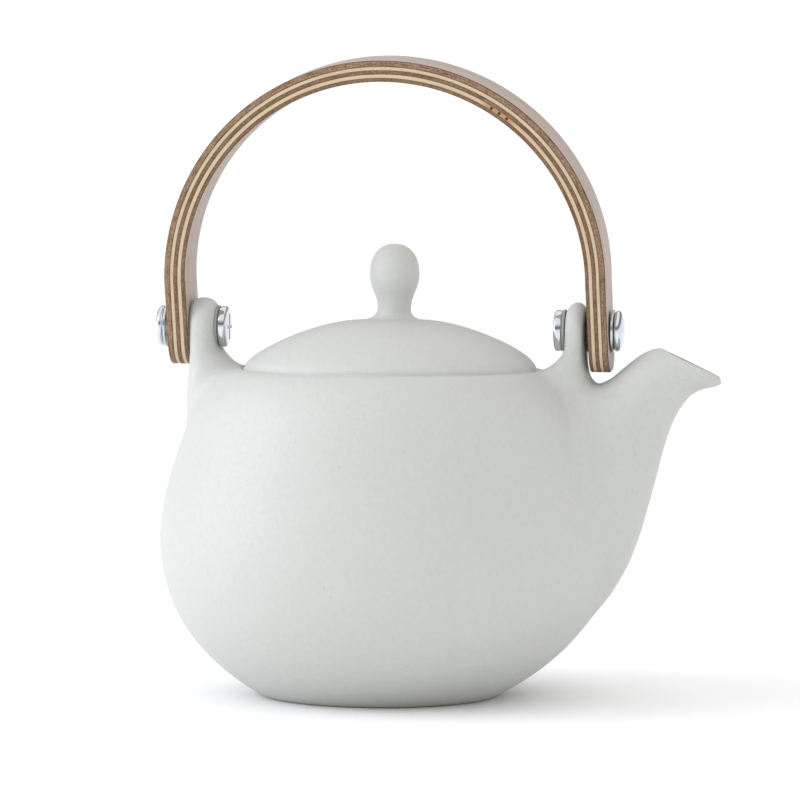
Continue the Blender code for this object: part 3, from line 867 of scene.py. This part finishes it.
def bent_ply(radius, thickness, broad_side):
    """One veneer: a flat section run up the left leg, round the bow and down the right.

    Its broad side is 1 where it faces out, -1 where it faces in and 0 where it is glued.
    """
    bm = bmesh.new()
    section = bmesh.ops.create_grid(bm, x_segments=1, y_segments=1, size=0.5)["verts"]
    bmesh.ops.delete(bm, geom=bm.faces[:], context="FACES_ONLY")
    bmesh.ops.scale(bm, vec=(thickness, BAIL_WIDTH, 1), verts=section)
    bmesh.ops.translate(bm, vec=(-radius, 0, -BAIL_LEG), verts=section)
    first = bm.edges[:]
    rise = BAIL_ARC_RISE + BAIL_LEG
    start = pushed(bm, first, rise)
    start_verts = list({vertex for edge in start for vertex in edge.verts})
    bow = bmesh.ops.spin(bm, geom=start_verts + start, cent=(0, 0, BAIL_ARC_RISE),
                         axis=(0, 1, 0), angle=pi, steps=96)["geom_last"]
    last = pushed(bm, [item for item in bow if isinstance(item, bmesh.types.BMEdge)], -rise)
    corners = []
    for loop in (first, last):
        bmesh.ops.edgeloop_fill(bm, edges=loop)
        corners += [e for e in loop if abs(e.verts[0].co.y - e.verts[1].co.y) < 1]
    bmesh.ops.bevel(bm, geom=corners, offset=BAIL_CORNER, segments=10, profile=0.5,
                    affect="EDGES", material=-1)
    bmesh.ops.recalc_face_normals(bm, faces=bm.faces)
    if broad_side:
        face_radius = radius + broad_side * thickness / 2
        soft = [edge for edge in bm.edges if edge.calc_face_angle(0) > 1
                and all(on_face(vertex.co, face_radius) for vertex in edge.verts)]
        bmesh.ops.bevel(bm, geom=soft, offset=BAIL_EDGE_ROUND, segments=3, profile=0.5,
                        affect="EDGES", material=-1)
    return bm


def on_face(point, radius):
    """Whether a point lies on the broad face of the bail at this radius."""
    rise = max(0, point.z - BAIL_ARC_RISE)
    return abs(sqrt(point.x**2 + rise**2) - radius) < 0.02


def mark_along(obj):
    """Writes how far along, across and out from the middle each point of a ply lies."""
    places = obj.data.attributes.new("ply_place", "FLOAT_VECTOR", "POINT")
    centre = BAIL_ARC_RISE * MM
    for point, place in zip(obj.data.vertices, places.data):
        x, y, z = point.co
        rise = z - centre
        turn = atan2(x, max(rise, 0)) * BAIL_OUTER_RADIUS * MM
        along = turn if rise > 0 else turn - rise * (1 if x > 0 else -1)
        place.vector = (along, y, sqrt(x * x + max(rise, 0) ** 2))


def by_hand(obj):
    """Sets the bail as it was bent: a little off centre, its legs slanting to the spout."""
    for vertex in obj.data.vertices:
        x, z = vertex.co.x / MM, vertex.co.z / MM
        left = 1 - eased(x, -BAIL_OUTER_RADIUS, BAIL_OUTER_RADIUS)
        shift = BAIL_RIGHT_SHIFT + (BAIL_LEFT_SHIFT - BAIL_RIGHT_SHIFT) * left
        slant = BAIL_LEG_SLANT * max(0, BAIL_ARC_RISE - z)
        vertex.co.x += (slant - shift) * MM
        if x > 0:
            thinner = RIGHT_LEG_THINNING * (1 - eased(z, *RIGHT_LEG_THINNING_Z))
            vertex.co.x -= thinner * (x - RIGHT_LEG_MIDDLE_X) * MM
            vertex.co.z -= RIGHT_LEG_EXTRA * (1 - eased(z, *RIGHT_LEG_EXTRA_Z)) * MM


def ply_finish(node, inner, thickness):
    """The edge's look: the two cores between the middle and the veneers run lengthways."""
    name = node.replace("handle", "bail") + "_edge"
    if node in ("handle_outer_core", "handle_inner_core"):
        return long_grain(name, inner, thickness, (0.62, 0.51, 0.365, 1), (0.50, 0.38, 0.25, 1),
                          node == "handle_inner_core")
    if node == "handle_outer_veneer":
        dark, light = (0.165, 0.088, 0.043, 1), (0.37, 0.25, 0.168, 1)
    else:
        dark, light = (0.125, 0.066, 0.030, 1), (0.29, 0.182, 0.105, 1)
    return end_grain(name, inner, thickness, dark, light)


def make_bail(face_finish):
    """Five plies, each bent, drilled and leant on its own, the outside one first."""
    lean = Matrix.Translation((0, 0, PIVOT_Z * MM)) @ Matrix.Rotation(BAIL_LEAN, 4, "X")
    outside = BAIL_OUTER_RADIUS
    for node, thickness in PLIES:
        broad_side = {"handle_outer_veneer": 1, "handle_inner_veneer": -1}.get(node, 0)
        ply = as_object(node.replace("handle", "bail"),
                        bent_ply(outside - thickness / 2, thickness, broad_side))
        outside -= thickness
        rod = post_hole()
        rod.data.transform(Matrix.Translation((0, 0, -PIVOT_Z * MM)))
        cut(ply, rod)
        mark_along(ply)
        face_radius = outside + (thickness if broad_side > 0 else 0)
        broad = [abs(face.normal.y) < 0.5 and on_face(face.center / MM, face_radius)
                 for face in ply.data.polygons]
        by_hand(ply)
        ply.data.transform(lean)
        show(ply, ply_finish(node, outside, thickness), "handle",
             node.replace("handle_", "") + "_wood", node)
        if broad_side:
            ply.data.materials.append(face_finish)
            for face, is_broad in zip(ply.data.polygons, broad):
                face.material_index = int(is_broad)


# ---- Binding posts -------------------------------------------------------------------


def reach_of(node):
    """How far from the pot's axis a fastener starts and ends, and its radius."""
    low, high = (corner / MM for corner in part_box(node))
    near, far = sorted((abs(low.x), abs(high.x)))
    return near, far, (high.z - low.z) / 2


def domed(seat, top, radius, roll, straight, full, flat):
    """A head's outline from its seat over a rolled edge to the middle of its dome."""
    height = top - seat
    start, pull = seat + height * straight, seat + height * full
    edge = bezier((radius - roll, seat), (radius - roll * 0.3, seat),
                  (radius, seat + height * straight * 0.4), (radius, start), 8)
    dome = bezier((radius, start), (radius, pull), (radius * flat, top), (0, top), 20)
    return edge + dome + [(0, top)]


def laid_along(name, outline, side, steps=64):
    """Turns an outline about Z, then lays it along X, pointing out from the pot."""
    bm = turned(outline, steps)
    bmesh.ops.rotate(bm, verts=bm.verts, matrix=Matrix.Rotation(side * pi / 2, 3, "Y"))
    bmesh.ops.translate(bm, verts=bm.verts, vec=(0, 0, PIVOT_Z))
    return as_object(name, bm)


def moved(obj, along):
    """Sets a fastener where it was fitted: a little along its axis and low in its hole."""
    obj.data.transform(Matrix.Translation((along * MM, 0, -POST_DROP * MM)))


def recess(top, side, turn):
    """One bar of the cross that a screwdriver fits."""
    bm = bmesh.new()
    bmesh.ops.create_cube(bm, size=1)
    bmesh.ops.scale(bm, vec=RECESS_SIZE, verts=bm.verts)
    bmesh.ops.translate(bm, verts=bm.verts, vec=(0, 0, top))
    bmesh.ops.rotate(bm, verts=bm.verts, matrix=Matrix.Rotation(turn, 3, "Z"))
    bmesh.ops.rotate(bm, verts=bm.verts, matrix=Matrix.Rotation(side * pi / 2, 3, "Y"))
    bmesh.ops.translate(bm, verts=bm.verts, vec=(0, 0, PIVOT_Z))
    return as_object("recess", bm)


def washer_outline(near, far, radius):
    """A flat ring with its outer edges eased."""
    hole, roll = WASHER_HOLE_RADIUS, WASHER_ROUND
    ring = [(hole, near), (radius - roll, near), (radius, near + roll), (radius, far - roll),
            (radius - roll, far), (hole, far)]
    return ring + ring[:1]


def make_posts(nut_finish, screw_finish, washer_finish, spacer_finish, inner_finish):
    """A nut with its barrel from outside, a screw from inside, and three washers a side."""
    for name, side in (("left", -1), ("right", 1)):
        outer_near, outer_far, washer_radius = reach_of(name + "_outer_washer")
        barrel_near, nut_top, head_radius = reach_of(name + "_post_nut")
        screw_top, shank_far, _ = reach_of(name + "_post_screw")
        spacer_near, spacer_far, spacer_radius = reach_of(name + "_spacer_washer")
        inner_near, inner_far, _ = reach_of(name + "_inner_washer")

        seat = outer_far + FIT
        bore = [(0, shank_far + 1), (BORE_RADIUS, shank_far + 1), (BORE_RADIUS, barrel_near)]
        barrel = [(BARREL_RADIUS, barrel_near), (BARREL_RADIUS, seat)]
        head = domed(seat, nut_top, head_radius, *NUT_DOME)
        nut = laid_along(name + "_binding_nut", bore + barrel + head, side)
        moved(nut, POST_SHIFTS[name, "outer"])
        show(nut, nut_finish, "pot", "post_nut_chrome", name + "_post_nut", sharp=30)

        seat = inner_near - FIT
        tip = [(0, shank_far), (SHANK_RADIUS - 0.3, shank_far), (SHANK_RADIUS, shank_far - 0.4)]
        head = domed(seat, screw_top, head_radius, *SCREW_DOME)
        screw = laid_along(name + "_binding_screw", tip + [(SHANK_RADIUS, seat)] + head, side)
        cut(screw, recess(screw_top, side, 0), recess(screw_top, side, pi / 2))
        moved(screw, POST_SHIFTS[name, "inner"])
        show(screw, screw_finish, "pot", "post_screw_chrome", name + "_post_screw", sharp=30)

        for part, near, far, radius, slot, finish in (
            ("outer_washer", outer_near, outer_far, washer_radius, "outer_washer_steel",
             washer_finish),
            ("spacer_washer", spacer_near, spacer_far, spacer_radius, "spacer_rubber",
             spacer_finish),
            ("inner_washer", inner_near, inner_far, washer_radius, "inner_washer_rubber",
             inner_finish),
        ):
            disc = laid_along(f"{name}_{part}_disc", washer_outline(near, far, radius), side)
            moved(disc, POST_SHIFTS[name, "inner" if part == "inner_washer" else "outer"])
            show(disc, finish, "pot", slot, f"{name}_{part}")


# ---- Assembly ------------------------------------------------------------------------

make_pot(glaze("pot_glaze", True))
make_lid(glaze("lid_glaze", False))
make_strainer(
    metal("strainer_steel", (0.66, 0.66, 0.65), smooth=0.22, rough=0.36, brushed=(30, 30, 1800)),
    metal("strainer_mesh_steel", (0.58, 0.58, 0.57), smooth=0.3, rough=0.5, brushed=(400,) * 3))
make_bail(veneer_face("veneer_face"))
polished = (200, 900, 900)
make_posts(
    metal("post_nut_chrome", (0.74, 0.76, 0.79), smooth=0.08, rough=0.14, brushed=polished),
    metal("post_screw_chrome", (0.72, 0.74, 0.77), smooth=0.08, rough=0.15, brushed=polished),
    metal("outer_washer_steel", (0.62, 0.65, 0.70), smooth=0.16, rough=0.26, brushed=polished),
    rubber("spacer_rubber", (0.030, 0.028, 0.030)),
    rubber("inner_washer_rubber", (0.25, 0.25, 0.24)))


# ---- Studio --------------------------------------------------------------------------


def make_floor():
    """White paper that runs far out on every side."""
    bm = bmesh.new()
    bmesh.ops.create_circle(bm, cap_ends=True, segments=96, radius=9000)
    floor = as_object("floor", bm)
    finish = Finish("floor_paper", Roughness=0.9, Specular_IOR_Level=0.1)
    cloud = finish.noise(finish.place(), 3.0)
    finish.paint("Base Color", finish.blend(cloud, (0.96, 0.96, 0.96, 1), (0.98, 0.98, 0.98, 1)))
    floor.data.materials.append(finish.material)


def make_light(name, place, target, size, energy, color):
    """A square lamp that shines from its place towards its target."""
    lamp = bpy.data.lights.new(name, "AREA")
    lamp.size = size
    lamp.energy = energy
    lamp.color = color
    obj = bpy.data.objects.new(name, lamp)
    obj.location = place
    obj.rotation_euler = (Vector(target) - Vector(place)).to_track_quat("-Z", "Y").to_euler()
    bpy.context.scene.collection.objects.link(obj)


def make_camera():
    """A long lens from a little above, turned to the spout's side; sizes in metres."""
    azimuth, distance, height, tilt = radians(9.0), 1.35, 0.164, radians(0.35)
    sideways, aim_height, view_width = 0.0029, 0.0883, 0.2388
    rightward = Vector((cos(azimuth), sin(azimuth), 0))
    towards = Vector((sin(azimuth), -cos(azimuth), 0))
    middle = rightward * sideways
    aim = middle + Vector((0, 0, aim_height))
    lens = bpy.data.cameras.new("camera")
    lens.sensor_width = 36
    lens.lens = lens.sensor_width * distance / view_width
    lens.clip_start = 0.05
    lens.clip_end = 60
    camera = bpy.data.objects.new("camera", lens)
    camera.location = middle + towards * distance + Vector((0, 0, height))
    look = (aim - camera.location).to_track_quat("-Z", "Y").to_matrix()
    camera.rotation_euler = (look @ Matrix.Rotation(tilt, 3, "Z")).to_euler()
    bpy.context.scene.collection.objects.link(camera)
    bpy.context.scene.camera = camera


def make_world():
    """An even white studio, with a darker band part way up that only reflections show."""
    strength, dimming = 1.06, 0.8
    world = bpy.data.worlds.new("studio")
    world.use_nodes = True
    nodes = Nodes(world.node_tree)
    height = nodes.part_of(nodes.node("ShaderNodeTexCoord", {}), "Z")
    mirrored = nodes.node("ShaderNodeLightPath", {}, output=3)
    band = height.step(0.02, 0.25) * (1 - height.step(0.3, 0.7))
    background = world.node_tree.nodes["Background"]
    background.inputs["Color"].default_value = (1.0, 1.0, 1.0, 1)
    nodes.feed(background.inputs["Strength"], (1 - mirrored * band * dimming) * strength)
    bpy.context.scene.world = world


make_camera()
make_floor()
make_light("window", place=(-1.85, -0.46, 0.80), target=(0, 0, 0.08), size=1.7, energy=25,
           color=(0.92, 0.97, 1.08))
make_world()
bpy.context.scene.view_settings.view_transform = "Standard"
